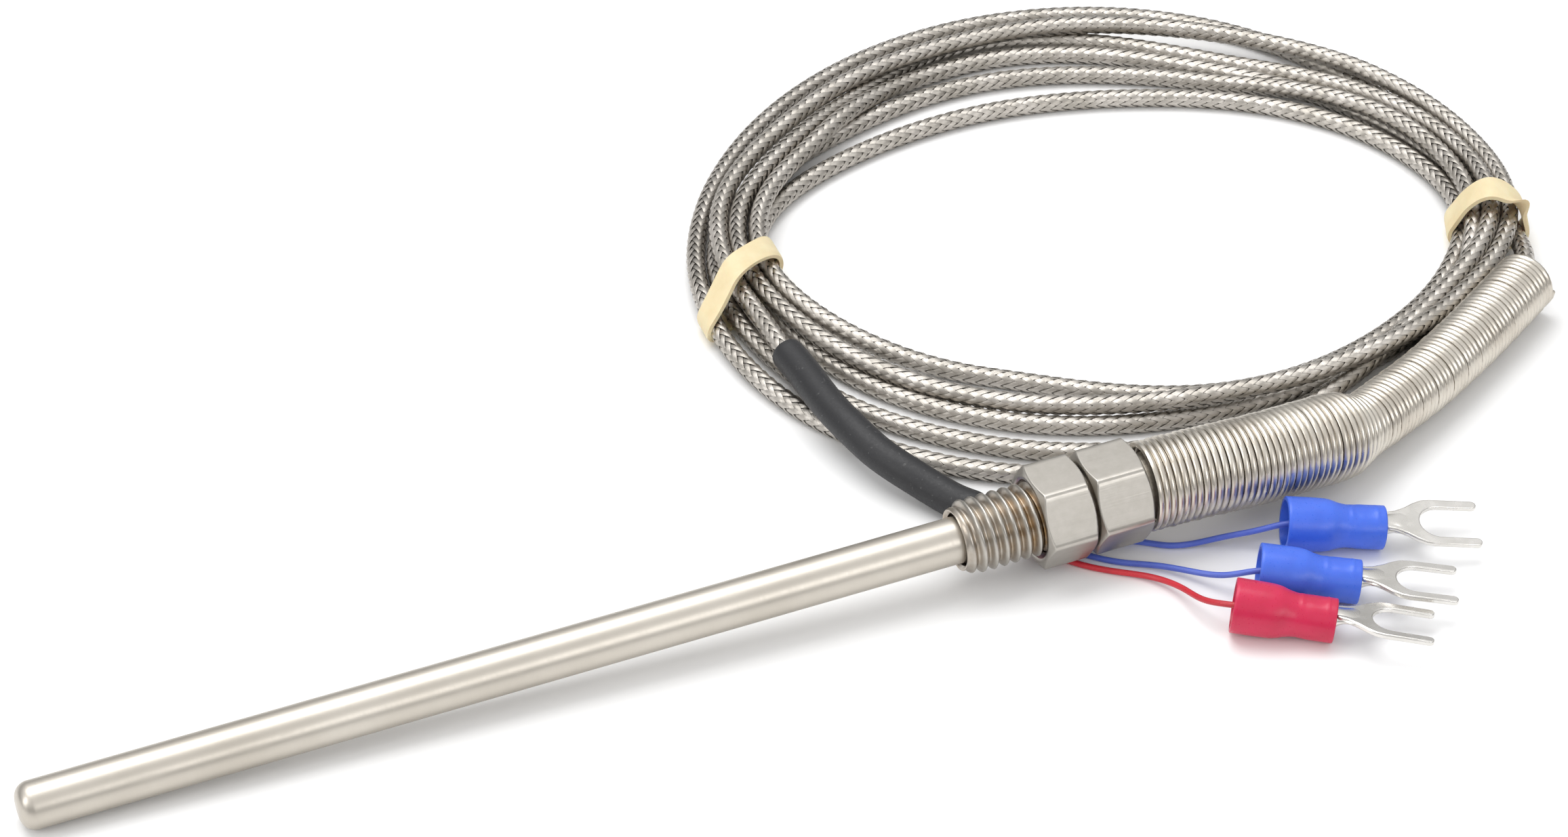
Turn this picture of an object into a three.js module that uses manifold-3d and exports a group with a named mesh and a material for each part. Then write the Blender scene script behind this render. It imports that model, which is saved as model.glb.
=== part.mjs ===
// A screw-in resistance thermometer probe, often sold as a thermocouple: a 5 mm closed steel sheath with a
// platinum element inside, a loose M8 threaded fitting and its lock nut, a spring strain relief, and a
// steel braided cable that ends in three coloured wires with fork terminals. It lies on a table.
//
// Units are millimetres and +Z is up. The table is z = 0. The probe points along X: its closed tip is at -X
// and the cable leaves at +X. The probe is modelled with its tip at x = 0 and then moved by ORIGIN_X, so that
// the origin is on the table under the middle of the rigid probe.

import * as THREE from 'three';
import { mergeVertices } from 'three/addons/utils/BufferGeometryUtils.js';
import Module from 'manifold-3d';

const wasm = await Module();
wasm.setup();

// ---------------------------------------------------------------- driving dimensions
const ORIGIN_X = 61.31;
const PLAY = 0.3; // left between pieces that follow each other
const CLEARANCE = 0.1; // left between a piece and the bore it lies in
const FIT = 0.02; // left between pieces that are pressed together or touch
const CUT = 1; // how far a cutting tool reaches past a face

// Sheath
const SHEATH_R = 2.5;
const SHEATH_BORE_R = 2.0;
const SHEATH_END = 119.5;
const TIP_EDGE_R = 1.6;
const TIP_WALL = 1.0;
const BORE_CHAMFER = 0.7;

// The probe leans on its tip, because the spring and the coil hold its other end up.
const TILT = THREE.MathUtils.degToRad(2.05);
const TIP_AXIS_Z = 2.45;

// Fitting: M8 x 1.25 thread on a 10 mm hexagon
const THREAD_START = 100;
const PITCH = 1.25;
const THREAD_MEAN_R = 3.67;
const THREAD_DEPTH = 0.33;
const THREAD_CREST_R = THREAD_MEAN_R + THREAD_DEPTH;
const THREAD_ROWS_PER_PITCH = 6;
const THREAD_SEGMENTS = 20;
const NECK_R = 3.3;
const FITTING_BORE_R = 2.85;
const HEX_FLAT_R = 5;
const HEX_START = 114.5;
const HEX_LENGTH = 6.2;
const HEX_END = HEX_START + HEX_LENGTH;
const HEX_CHAMFER = 0.55;
const HEX_FACE_R = 4.75;
const HEX_CORNER_R = HEX_FLAT_R / Math.cos(Math.PI / 6);
const COUNTERBORE_R = 3.95;
const COUNTERBORE_DEPTH = 3.4;
const MOUTH_DEPTH = 0.3;

// Lock nut
const NUT_LENGTH = 5.7;
const NUT_END = HEX_START - PLAY;
const NUT_START = NUT_END - NUT_LENGTH;
const NUT_CLEARANCE = 0.22;
const COUNTERSINK_R = 4.45;
const COUNTERSINK_DEPTH = 0.8;

// Retaining collar on the back of the sheath
const COLLAR_R = 3.6;
const COLLAR_START = HEX_END - COUNTERBORE_DEPTH + 0.35;
const COLLAR_END = HEX_END + 1.9;

// Inside the sheath
const ELEMENT_R = 1.0;
const ELEMENT_START = 3.2;
const ELEMENT_LENGTH = 15;
const ELEMENT_END = ELEMENT_START + ELEMENT_LENGTH;
const ELEMENT_LEAD_R = 0.15;
const ELEMENT_LEAD_Y = 0.45;
const ELEMENT_LEAD_LENGTH = 8;
const SPLICE_R = 0.6;
const SPLICE_Y = 0.8;
const SPLICE_LENGTH = 9;
const INNER_WIRE_R = 0.33;
const INNER_WIRE_Y = 0.42;
const INNER_WIRE_Z = 0.36;
const INNER_WIRE_STOP = 1.3;
const SEAL_START = 96;
const SEAL_BORE_R = 1.15;
const FERRULE_START = 106;
const FERRULE_R = 1.85;
const FERRULE_BORE_R = 1.4;

// Cable
const CABLE_R = 1.1;
const CABLE_SIDES = 8;
const CABLE_LEAD_STEPS = 24;
const CABLE_TAIL_STEPS = 7;

// Spring strain relief, wound wide over the collar and narrower to its free end
const SPRING_WIRE = 0.72;
const SPRING_WIDE_R = 4.9;
const SPRING_NARROW_R = 3.65;
const SPRING_SIDES = 16;
const SPRING_STEP_START = 24;
const SPRING_STEP_END = 28.8;
const SPRING_ROW = 5;

// Coil of cable, centred beside the fitting
const COIL_CENTRE = new THREE.Vector2(140, 52.5);
const COIL_INNER_R = 31;
const COIL_OUTER_R = 44.3;
const COIL_STRETCH = 1.04;
const COIL_BOTTOM = 1.1;
const COIL_TOP = 3.3;
const COIL_EDGE = 0.6;
const COIL_SHOULDER = 3.6;

// Rubber bands round the coil
const BAND_WIDTH = 3.8;
const BAND_THICKNESS = 0.8;

// Heat-shrink sleeve and lead wires
const SHRINK_R = 1.9;
const SHRINK_BORE_R = 1.42;
const WIRE_R = 0.33;
const WIRE_SPACING = 0.74;

// Insulated fork terminals, for a 4 mm screw. The blade carries on from the top of the barrel.
const VINYL_LENGTH = 10.6;
const FUNNEL_R = 2.9;
const FUNNEL_LENGTH = 4.2;
const GRIP_R = 2.35;
const GRIP_START = 6.8;
const VINYL_WALL = 0.45;
const BARREL_R = 1.7;
const BARREL_WALL = 0.8;
const BARREL_START = 5;
const BARREL_END = 9.6;
const BLADE_END = 20.7;
const BLADE_WIDTH = 6.4;
const BLADE_THICKNESS = 0.6;
const BLADE_RISE = 1;
const SLOT_WIDTH = 4.3;
const SLOT_LENGTH = 6.4;
const NECK_WIDTH = 2.5;
const NECK_START = 9;
const NECK_END = 10.9;
const NECK_STEP = 0.12;
const FLARE = 1.3;
const FLARE_PAST_SLOT = 0.6;

// ---------------------------------------------------------------- routes, with the tip at x = 0
const SPRING_ROUTE = [
  [121, 0, 6.77], [126.2, -0.1, 6.88], [130.9, -0.1, 6.75], [135.5, 0.2, 6.4], [140, 0.8, 6],
  [144.5, 1.5, 5.5], [148.5, 2.6, 5], [153, 4.9, 4.45], [158.7, 7.9, 4], [164, 11, 3.78],
  [169.5, 14.4, 3.7], [174.7, 17.8, 3.7], [179.8, 21.2, 3.7],
];
const LEAD_OUT_ROUTE = [[182.6, 23.4, 3.3], [184.3, 26, 2.9], [185.2, 28.4, 2.6]];
const TAIL_ROUTE = [[97.3, 50, 4.45], [97, 44.5, 4.5], [96.6, 38.4, 4.5], [96.8, 34.5, 4.45], [97, 31, 4.4]];
const SHRINK_ROUTE = [
  [96.6, 38.4, 4.5], [96.8, 34.5, 4.45], [97, 31, 4.4], [97.4, 27, 4.3], [98.2, 23, 4.1], [99.3, 19.5, 3.6],
  [101.1, 16, 3], [103.1, 12.9, 2.3], [104.7, 10.4, 1.95], [106.3, 8.3, 1.95],
];
const WIRE_ROUTES = {
  blue_1: [
    [109.4, 5.7, 0.6], [113.2, 3.1, 0.36], [117.2, 0.7, 0.36], [121.2, -1.5, 0.4], [123.4, -3, 0.45],
    [126, -3.9, 0.65], [128.9, -4.9, 1.4], [132.2, -6.2, 2.3],
  ],
  blue_2: [
    [108.6, 4.9, 0.55], [111.9, 1.9, 0.36], [115, -1.4, 0.36], [117.6, -3.6, 0.38], [120.4, -5.5, 0.6],
    [123.3, -8.2, 1], [126, -11.2, 1.95],
  ],
  red: [
    [107.8, 4.2, 0.5], [110.6, 1.1, 0.36], [113.2, -2, 0.36], [116.2, -4.6, 0.38], [119.4, -7.2, 0.6],
    [121.2, -10.7, 1.3], [122, -14.4, 2.3],
  ],
};
const TERMINALS = {
  blue_1: { rim: [134.7, -7.25], yaw: -19.5, roll: 7, side: 1 },
  blue_2: { rim: [128.7, -13.1], yaw: -26.5, roll: -4, side: 0 },
  red: { rim: [123.8, -17.15], yaw: -30, roll: -9, side: -1 },
};
const WIRE_SHARES = [0.4, 0.6, 0.8, 0.99];
const RIM_STEP = 0.4;
const TERMINAL_PITCH = Math.atan2(FUNNEL_R - GRIP_R, VINYL_LENGTH - FUNNEL_LENGTH);

// ---------------------------------------------------------------- materials
const STEEL = { color: 0xb4ada0, roughness: 0.35, metalness: 1 };
const NICKEL = { color: 0xb9b0a0, roughness: 0.3, metalness: 1 };
const TINNED = { color: 0xcfcdc8, roughness: 0.3, metalness: 1 };
const PLATINUM = { color: 0xd0cec9, roughness: 0.25, metalness: 1 };
const CERAMIC = { color: 0xf0ece2, roughness: 0.8, metalness: 0 };
const BRAID = { color: 0xa79f92, roughness: 0.4, metalness: 1 };
const EPOXY = { color: 0x2d2a28, roughness: 0.5, metalness: 0 };
const SHRINK = { color: 0x303032, roughness: 0.65, metalness: 0 };
const BLUE = { color: 0x2f5fd6, roughness: 0.35, metalness: 0 };
const RED = { color: 0xc8304f, roughness: 0.35, metalness: 0 };
const LATEX = { color: 0xe6d3a6, roughness: 0.7, metalness: 0 };

// ---------------------------------------------------------------- shape helpers
function mesh(name, geometry, look) {
  const made = new THREE.Mesh(geometry, new THREE.MeshStandardMaterial(look));
  made.name = name;
  return made;
}

/** A solid turned about X from [x, radius] pairs, which start and end on the axis or close on themselves. */
function turned(profile, segments = 32) {
  const points = profile.map(([x, r]) => new THREE.Vector2(r, x));
  return new THREE.LatheGeometry(points, segments).rotateZ(-Math.PI / 2);
}

/** A round tube turned about X. */
function ring(start, end, outer, inner, segments = 32) {
  return turned([[start, inner], [start, outer], [end, outer], [end, inner], [start, inner]], segments);
}

/** A solid round bar turned about X. */
function bar(start, end, radius, segments = 16) {
  return turned([[start, 0], [start, radius], [end, radius], [end, 0]], segments);
}

/** A closed manifold solid from a three.js geometry. */
function solid(geometry) {
  const plain = (geometry.index ? geometry.toNonIndexed() : geometry).clone();
  plain.deleteAttribute('normal');
  plain.deleteAttribute('uv');
  const merged = mergeVertices(plain, 1e-4);
  const vertProperties = new Float32Array(merged.attributes.position.array);
  const triVerts = new Uint32Array(merged.index.array);
  return new wasm.Manifold(new wasm.Mesh({ numProp: 3, vertProperties, triVerts }));
}

/** A three.js geometry from a manifold solid. */
function geometryOf(body) {
  const result = body.getMesh();
  const geometry = new THREE.BufferGeometry();
  geometry.setAttribute('position', new THREE.BufferAttribute(result.vertProperties, 3));
  geometry.setIndex(new THREE.BufferAttribute(result.triVerts, 1));
  geometry.computeVertexNormals();
  return geometry;
}

function curveOf(points) {
  return new THREE.CatmullRomCurve3(points.map((p) => new THREE.Vector3(...p)), false, 'centripetal');
}

function circle(radius, sides) {
  const corners = [];
  for (let i = 0; i < sides; i += 1) {
    const angle = (2 * Math.PI * i) / sides;
    corners.push(new THREE.Vector2(radius * Math.cos(angle), radius * Math.sin(angle)));
  }
  return corners;
}

/** A tube, or a solid bar if bore is 0, swept along a curve. */
function swept(curve, radius, bore, sides, steps) {
  const section = new THREE.Shape(circle(radius, sides));
  if (bore > 0) section.holes.push(new THREE.Path(circle(bore, sides)));
  return new THREE.ExtrudeGeometry(section, { steps, extrudePath: curve, bevelEnabled: false });
}

/** The point on the tilted probe's axis at a distance from its tip. */
function alongProbe(x) {
  return [x * Math.cos(TILT), 0, TIP_AXIS_Z + x * Math.sin(TILT)];
}

/** Bends a solid that was turned about X, so that its X axis follows a curve. */
function bent(geometry, curve) {
  const length = curve.getLength();
  const position = geometry.attributes.position;
  for (let i = 0; i < position.count; i += 1) {
    const along = THREE.MathUtils.clamp(position.getX(i) / length, 0, 1);
    const point = curve.getPointAt(along);
    const heading = curve.getTangentAt(along);
    const across = new THREE.Vector3(-heading.y, heading.x, 0).normalize();
    const up = new THREE.Vector3().crossVectors(heading, across);
    point.addScaledVector(across, position.getY(i)).addScaledVector(up, position.getZ(i));
    position.setXYZ(i, point.x, point.y, point.z);
  }
  return geometry;
}

/** Steps along a curve so that each is about three diameters long. */
function stepsFor(curve, diameter) {
  return Math.max(6, Math.round(curve.getLength() / (3 * diameter)));
}

/** A right-hand thread: turned rows whose radius follows a helix, tapered at both ends. */
function threadedBar(start, end, extra, fade) {
  const rows = Math.round(((end - start) / PITCH) * THREAD_ROWS_PER_PITCH);
  const profile = [[start, 0]];
  for (let i = 0; i <= rows; i += 1) {
    profile.push([start + ((end - start) * i) / rows, THREAD_CREST_R]);
  }
  profile.push([end, 0]);
  const geometry = turned(profile, THREAD_SEGMENTS);
  const position = geometry.attributes.position;
  for (let i = 0; i < position.count; i += 1) {
    const [x, y, z] = [position.getX(i), position.getY(i), position.getZ(i)];
    const radius = Math.hypot(y, z);
    if (radius < NECK_R / 2) continue;
    const phase = (2 * Math.PI * x) / PITCH - Math.atan2(z, y);
    const taper = fade ? Math.min(1, Math.min(x - start, end - x) / PITCH) : 1;
    const wave = THREAD_MEAN_R + THREAD_DEPTH * Math.cos(phase);
    const wanted = NECK_R + (wave - NECK_R) * taper + extra;
    position.setXYZ(i, x, (y * wanted) / radius, (z * wanted) / radius);
  }
  return geometry;
}

/** A hexagonal bar along X with two flats parallel to the table and its corners chamfered at both ends. */
function hexBar(start, end) {
  const section = new THREE.Shape();
  for (let i = 0; i < 6; i += 1) {
    const angle = (Math.PI * i) / 3;
    const corner = [HEX_CORNER_R * Math.cos(angle), HEX_CORNER_R * Math.sin(angle)];
    if (i === 0) section.moveTo(...corner);
    else section.lineTo(...corner);
  }
  const prism = new THREE.ExtrudeGeometry(section, { depth: end - start, bevelEnabled: false });
  prism.rotateX(Math.PI / 2).rotateZ(Math.PI / 2).translate(start, 0, 0);
  const outside = HEX_CORNER_R + CLEARANCE;
  const cone = turned([
    [start, 0], [start, HEX_FACE_R], [start + HEX_CHAMFER, outside],
    [end - HEX_CHAMFER, outside], [end, HEX_FACE_R], [end, 0],
  ], 48);
  return solid(prism).intersect(solid(cone));
}

// ---------------------------------------------------------------- the probe's own pieces, along X
function probeSheath() {
  const edge = [];
  const arcSteps = 6;
  for (let i = 0; i <= arcSteps; i += 1) {
    const angle = (Math.PI / 2) * (i / arcSteps);
    edge.push([
      TIP_EDGE_R * (1 - Math.sin(angle)),
      SHEATH_R - TIP_EDGE_R + TIP_EDGE_R * Math.cos(angle),
    ]);
  }
  edge.reverse();
  return turned([
    [0, 0], ...edge, [SHEATH_END, SHEATH_R], [SHEATH_END, SHEATH_BORE_R],
    [TIP_WALL + BORE_CHAMFER, SHEATH_BORE_R], [TIP_WALL, SHEATH_BORE_R - BORE_CHAMFER], [TIP_WALL, 0],
  ], 40);
}

function threadedFitting() {
  const thread = solid(threadedBar(THREAD_START, HEX_START + CUT, 0, true));
  const hexagon = hexBar(HEX_START, HEX_END);
  const bore = solid(bar(THREAD_START - CUT, HEX_END + CUT, FITTING_BORE_R, 32));
  const mouth = solid(turned([
    [THREAD_START - CUT, 0], [THREAD_START - CUT, FITTING_BORE_R + MOUTH_DEPTH + CUT],
    [THREAD_START + MOUTH_DEPTH, FITTING_BORE_R], [THREAD_START + MOUTH_DEPTH, 0],
  ], 32));
  const counterbore = solid(bar(HEX_END - COUNTERBORE_DEPTH, HEX_END + CUT, COUNTERBORE_R, 32));
  return geometryOf(thread.add(hexagon).subtract(bore).subtract(mouth).subtract(counterbore));
}

function lockNut() {
  const hole = solid(threadedBar(NUT_START - PITCH, NUT_END + PITCH, NUT_CLEARANCE, false));
  const sink = (face, inward) => {
    const deep = face + inward * COUNTERSINK_DEPTH;
    const out = face - inward * CUT;
    const ends = [[out, COUNTERSINK_R], [face, COUNTERSINK_R], [deep, THREAD_MEAN_R]];
    if (inward < 0) ends.reverse();
    return solid(turned([[ends[0][0], 0], ...ends, [ends[2][0], 0]], 32));
  };
  const body = hexBar(NUT_START, NUT_END).subtract(hole);
  return geometryOf(body.subtract(sink(NUT_START, 1)).subtract(sink(NUT_END, -1)));
}

function elementLead(side) {
  const start = ELEMENT_END + PLAY;
  return bar(start, start + ELEMENT_LEAD_LENGTH, ELEMENT_LEAD_R, 8).translate(0, side * ELEMENT_LEAD_Y, 0);
}

const SPLICE_START = ELEMENT_END + PLAY + ELEMENT_LEAD_LENGTH + PLAY;
const WIRE_START = SPLICE_START + SPLICE_LENGTH + PLAY;
const WIRE_END = SHEATH_END - INNER_WIRE_STOP;

function splice(side) {
  return bar(SPLICE_START, SPLICE_START + SPLICE_LENGTH, SPLICE_R, 12).translate(0, side * SPLICE_Y, 0);
}

function innerWire(y, z) {
  return bar(WIRE_START, WIRE_END, INNER_WIRE_R, 8).translate(0, y, z);
}

const probe = new THREE.Group();
probe.rotation.y = -TILT;
probe.position.z = TIP_AXIS_Z;
probe.add(mesh('probe_sheath', probeSheath(), STEEL));
probe.add(mesh('threaded_fitting', threadedFitting(), NICKEL));
probe.add(mesh('lock_nut', lockNut(), NICKEL));
probe.add(mesh('retaining_collar', ring(COLLAR_START, COLLAR_END, COLLAR_R, SHEATH_R + FIT), STEEL));
probe.add(mesh('sensing_element', bar(ELEMENT_START, ELEMENT_END, ELEMENT_R, 24), CERAMIC));
probe.add(mesh('element_lead_1', elementLead(1), PLATINUM));
probe.add(mesh('element_lead_2', elementLead(-1), PLATINUM));
probe.add(mesh('splice_blue', splice(1), TINNED));
probe.add(mesh('splice_red', splice(-1), TINNED));
probe.add(mesh('inner_wire_blue_1', innerWire(INNER_WIRE_Y, INNER_WIRE_Z), BLUE));
probe.add(mesh('inner_wire_blue_2', innerWire(INNER_WIRE_Y, -INNER_WIRE_Z), BLUE));
probe.add(mesh('inner_wire_red', innerWire(-INNER_WIRE_Y, 0), RED));
const FILL_R = SHEATH_BORE_R - CLEARANCE;
probe.add(mesh('alumina_fill', ring(ELEMENT_START, ELEMENT_END, FILL_R, ELEMENT_R + CLEARANCE), CERAMIC));
probe.add(mesh('epoxy_seal', ring(SEAL_START, FERRULE_START - PLAY, FILL_R, SEAL_BORE_R), EPOXY));
probe.add(mesh('braid_ferrule', ring(FERRULE_START, SHEATH_END, FERRULE_R, FERRULE_BORE_R), STEEL));

// ---------------------------------------------------------------- spring, cable and coil
/** The close-wound spring, as a hollow sleeve with one step down in its width. */
function strainReliefSpring() {
  const route = curveOf(SPRING_ROUTE);
  const length = route.getLength();
  const outside = [];
  for (let x = 0; x < SPRING_STEP_START; x += SPRING_ROW) outside.push([x, SPRING_WIDE_R]);
  outside.push([SPRING_STEP_START, SPRING_WIDE_R], [SPRING_STEP_END, SPRING_NARROW_R]);
  for (let x = SPRING_STEP_END + SPRING_ROW; x < length; x += SPRING_ROW) outside.push([x, SPRING_NARROW_R]);
  outside.push([length, SPRING_NARROW_R]);
  const inside = outside.map(([x, r]) => [x, r - SPRING_WIRE]).reverse();
  return bent(turned([...outside, ...inside, outside[0]], SPRING_SIDES), route);
}

function cableLead() {
  const route = curveOf([alongProbe(SHEATH_END + PLAY), ...SPRING_ROUTE.slice(1), ...LEAD_OUT_ROUTE]);
  return swept(route, CABLE_R, 0, CABLE_SIDES, CABLE_LEAD_STEPS);
}

function cableTail() {
  return swept(curveOf(TAIL_ROUTE), CABLE_R, 0, CABLE_SIDES, CABLE_TAIL_STEPS);
}

function cableCoil() {
  const points = [
    [COIL_BOTTOM, COIL_INNER_R], [COIL_BOTTOM, COIL_OUTER_R], [COIL_BOTTOM + COIL_EDGE, COIL_OUTER_R],
    [COIL_TOP, COIL_OUTER_R - COIL_SHOULDER], [COIL_TOP, COIL_INNER_R], [COIL_BOTTOM, COIL_INNER_R],
  ].map(([z, r]) => new THREE.Vector2(r, z));
  return new THREE.LatheGeometry(points, 64).rotateX(Math.PI / 2);
}

function placeCoil(coil) {
  coil.scale.x = COIL_STRETCH;
  coil.position.set(COIL_CENTRE.x, COIL_CENTRE.y, 0);
  return coil;
}

/** A closed band round the coil's section, at an angle in degrees about the coil's centre. */
function rubberBand(name, angle) {
  const turn = THREE.MathUtils.degToRad(angle);
  const reach = (radius) => 1 / Math.hypot(Math.cos(turn) / (radius * COIL_STRETCH), Math.sin(turn) / radius);
  const frame = (grow) => {
    const left = reach(COIL_INNER_R) - PLAY - grow;
    const right = reach(COIL_OUTER_R) + PLAY + grow;
    const low = COIL_BOTTOM - PLAY - grow;
    const high = COIL_TOP + PLAY + grow;
    return [[left, low], [right, low], [right, high], [left, high]].map((p) => new THREE.Vector2(...p));
  };
  const section = new THREE.Shape(frame(BAND_THICKNESS));
  section.holes.push(new THREE.Path(frame(0)));
  const loop = new THREE.ExtrudeGeometry(section, { depth: BAND_WIDTH, bevelEnabled: false });
  loop.translate(0, 0, -BAND_WIDTH / 2).rotateX(Math.PI / 2);
  const band = mesh(name, loop, LATEX);
  band.rotation.z = turn;
  band.position.set(COIL_CENTRE.x, COIL_CENTRE.y, 0);
  return band;
}

function heatShrink() {
  return swept(curveOf(SHRINK_ROUTE), SHRINK_R, SHRINK_BORE_R, 12, 14);
}

const cable = new THREE.Group();
cable.add(mesh('strain_relief_spring', strainReliefSpring(), STEEL));
cable.add(mesh('cable_lead', cableLead(), BRAID));
cable.add(placeCoil(mesh('cable_coil', cableCoil(), BRAID)));
cable.add(mesh('cable_tail', cableTail(), BRAID));
cable.add(mesh('heat_shrink_sleeve', heatShrink(), SHRINK));
cable.add(rubberBand('rubber_band_left', 178));
cable.add(rubberBand('rubber_band_right', -23));

// ---------------------------------------------------------------- fork terminals and lead wires
/** Terminal pieces lie along X, from the funnel's rim at x = 0 to the fork's tips. */
function vinylSleeve() {
  return turned([
    [0, FUNNEL_R - VINYL_WALL], [0, FUNNEL_R], [FUNNEL_LENGTH, FUNNEL_R], [GRIP_START, GRIP_R],
    [VINYL_LENGTH, GRIP_R], [VINYL_LENGTH, GRIP_R - VINYL_WALL], [GRIP_START, GRIP_R - VINYL_WALL],
    [FUNNEL_LENGTH, FUNNEL_R - VINYL_WALL], [0, FUNNEL_R - VINYL_WALL],
  ], 24);
}

function forkTerminal() {
  const half = BLADE_WIDTH / 2;
  const slotHalf = SLOT_WIDTH / 2;
  const prong = half - slotHalf;
  const slotStart = BLADE_END - SLOT_LENGTH;
  const slotCentre = slotStart + slotHalf;
  const tipCentre = BLADE_END - prong / 2;
  const outline = new THREE.Shape();
  outline.moveTo(NECK_START, -NECK_WIDTH / 2);
  outline.lineTo(NECK_END, -NECK_WIDTH / 2);
  outline.quadraticCurveTo(NECK_END + FLARE, -half, slotStart + FLARE_PAST_SLOT, -half);
  outline.lineTo(tipCentre, -half);
  outline.absarc(tipCentre, -half + prong / 2, prong / 2, -Math.PI / 2, Math.PI / 2, false);
  outline.lineTo(slotCentre, -slotHalf);
  outline.absarc(slotCentre, 0, slotHalf, -Math.PI / 2, Math.PI / 2, true);
  outline.lineTo(tipCentre, slotHalf);
  outline.absarc(tipCentre, half - prong / 2, prong / 2, -Math.PI / 2, Math.PI / 2, false);
  outline.lineTo(slotStart + FLARE_PAST_SLOT, half);
  outline.quadraticCurveTo(NECK_END + FLARE, half, NECK_END, NECK_WIDTH / 2);
  outline.lineTo(NECK_START, NECK_WIDTH / 2);
  outline.closePath();
  const settings = { depth: BLADE_THICKNESS, bevelEnabled: false, curveSegments: 5 };
  const blade = new THREE.ExtrudeGeometry(outline, settings);
  blade.translate(0, 0, BLADE_RISE - BLADE_THICKNESS / 2);
  const neck = new THREE.BoxGeometry(NECK_END - NECK_START, NECK_WIDTH, BLADE_THICKNESS + 2 * NECK_STEP);
  neck.translate((NECK_END + NECK_START) / 2, 0, BLADE_RISE);
  const barrel = ring(BARREL_START, BARREL_END, BARREL_R, BARREL_R - BARREL_WALL, 16);
  return geometryOf(solid(blade).add(solid(neck)).add(solid(barrel)));
}

/** Puts a terminal piece on the table, with the funnel and the grip both touching it. */
function placeTerminal(piece, { rim, yaw, roll }) {
  const turn = new THREE.Group();
  turn.rotation.order = 'ZYX';
  turn.rotation.set(
    THREE.MathUtils.degToRad(roll),
    TERMINAL_PITCH,
    THREE.MathUtils.degToRad(yaw),
  );
  turn.position.set(rim[0], rim[1], rimHeight());
  turn.add(piece);
  return turn;
}

function rimHeight() {
  return FUNNEL_R * Math.cos(TERMINAL_PITCH) + FUNNEL_LENGTH * Math.sin(TERMINAL_PITCH) + FIT;
}

/** The last stretch of a wire, straight along the terminal's axis into the funnel. */
function insideTerminal({ rim, yaw }) {
  const heading = THREE.MathUtils.degToRad(yaw);
  return [RIM_STEP, BARREL_START - PLAY].map((along) => [
    rim[0] + along * Math.cos(heading) * Math.cos(TERMINAL_PITCH),
    rim[1] + along * Math.sin(heading) * Math.cos(TERMINAL_PITCH),
    rimHeight() - along * Math.sin(TERMINAL_PITCH),
  ]);
}

/** The first stretch of a wire, inside the heat-shrink sleeve, beside the other two. */
function insideShrink({ side }) {
  const shrink = curveOf(SHRINK_ROUTE);
  return WIRE_SHARES.map((along) => {
    const point = shrink.getPointAt(along);
    const heading = shrink.getTangentAt(along);
    const across = new THREE.Vector3(-heading.y, heading.x, 0).normalize();
    point.addScaledVector(across, side * WIRE_SPACING);
    return point.toArray();
  });
}

function leadWire(name) {
  const terminal = TERMINALS[name];
  const route = curveOf([...insideShrink(terminal), ...WIRE_ROUTES[name], ...insideTerminal(terminal)]);
  return swept(route, WIRE_R, 0, CABLE_SIDES, stepsFor(route, 2 * WIRE_R));
}

const wiring = new THREE.Group();
for (const name of Object.keys(TERMINALS)) {
  const look = name === 'red' ? RED : BLUE;
  wiring.add(mesh(`lead_wire_${name}`, leadWire(name), look));
  wiring.add(placeTerminal(mesh(`vinyl_sleeve_${name}`, vinylSleeve(), look), TERMINALS[name]));
  wiring.add(placeTerminal(mesh(`fork_terminal_${name}`, forkTerminal(), TINNED), TERMINALS[name]));
}

// ---------------------------------------------------------------- the whole part
const thermocouple = new THREE.Group();
thermocouple.add(probe, cable, wiring);
thermocouple.position.x = -ORIGIN_X;

export default thermocouple;
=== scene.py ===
"""A screw-in temperature probe with a coiled, steel braided cable, made to match its photograph.

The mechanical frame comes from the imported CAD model. Points are given in millimetres, measured from the table
under the probe's closed tip, as in the part's own source, and put() turns them into the row frame in metres.
"""

import math

import bmesh
import bpy
import numpy as np
from mathutils import Matrix, Vector


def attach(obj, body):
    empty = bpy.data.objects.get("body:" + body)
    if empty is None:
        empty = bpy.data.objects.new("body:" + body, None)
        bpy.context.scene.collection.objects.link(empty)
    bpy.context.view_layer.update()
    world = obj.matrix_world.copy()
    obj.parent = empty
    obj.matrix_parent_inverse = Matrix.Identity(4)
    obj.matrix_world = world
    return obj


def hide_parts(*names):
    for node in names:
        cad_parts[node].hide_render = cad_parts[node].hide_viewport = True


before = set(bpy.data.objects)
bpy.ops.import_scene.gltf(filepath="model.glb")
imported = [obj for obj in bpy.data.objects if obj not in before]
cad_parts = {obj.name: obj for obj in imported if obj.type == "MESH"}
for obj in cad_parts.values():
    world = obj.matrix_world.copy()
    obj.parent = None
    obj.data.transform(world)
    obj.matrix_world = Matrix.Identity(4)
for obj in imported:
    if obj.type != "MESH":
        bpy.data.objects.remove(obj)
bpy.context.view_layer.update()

# ---------------------------------------------------------------- dimensions, in millimetres
MM = 0.001
ORIGIN_X = 61.31
TILT = math.radians(2.05)
TIP_AXIS_Z = 2.45

SHEATH_R = 2.5
SHEATH_BORE_R = 2.0
SHEATH_END = 119.5
SHEATH_FLOOR = 1.0
TIP_EDGE_R = 1.6

THREAD_START = 100.0
PITCH = 1.25
THREAD_MEAN_R = 3.67
THREAD_DEPTH = 0.33
NECK_R = 3.3
FITTING_BORE_R = 2.85
HEX_FLAT_R = 5.0
HEX_START = 114.5
HEX_END = 120.7
HEX_CHAMFER = 0.55
HEX_FACE_R = 4.75
HEX_CORNER_CUT = 0.70
COUNTERBORE_R = 3.95
COUNTERBORE_DEPTH = 3.4
NUT_START = 108.5
NUT_END = 114.2
NUT_CLEARANCE = 0.22
COUNTERSINK_R = 4.45
COUNTERSINK_DEPTH = 0.8

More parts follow.
